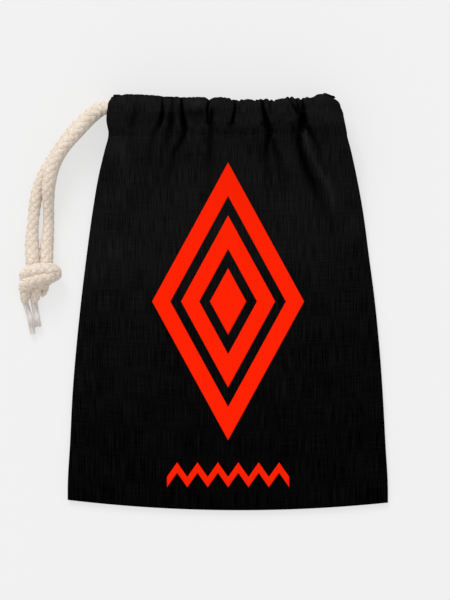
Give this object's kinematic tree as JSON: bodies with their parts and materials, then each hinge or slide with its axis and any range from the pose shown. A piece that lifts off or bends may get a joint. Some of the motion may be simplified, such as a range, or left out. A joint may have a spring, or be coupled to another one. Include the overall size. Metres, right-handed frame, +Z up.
{
  "type": "cotton drawstring pouch",
  "caption": "Flat cotton drawstring pouch with a gathered casing round its mouth and a thick drawcord knotted at one side.",
  "frame": {"origin": "under the middle of the cloth, on the surface that the back panel lies on; the free cord, its knot and ends are left out of the middle", "axes": "+X to the right, +Y from the base seam to the mouth, +Z up, away from the surface, out of the front panel"},
  "size_m": [0.1775, 0.1998, 0.0232],
  "materials": {
    "cloth": "black plain-woven cotton, matt, with slubs in the warp",
    "print": "flat red ink printed on the cloth",
    "thread": "black sewing thread",
    "cord": "natural braided cotton cord, soft and matt",
    "tape": "clear tape wound round the cord's ends"
  },
  "bodies": {
    "root": {"front_panel": "cloth", "back_panel": "cloth", "front_casing": "cloth", "back_casing": "cloth", "hidden_cord": "cord", "free_cord_front": "cord", "free_cord_back": "cord", "knot": "cord", "tail_left": "cord", "tail_right": "cord", "tip_left": "tape", "tip_right": "tape"}
  },
  "joints": []
}
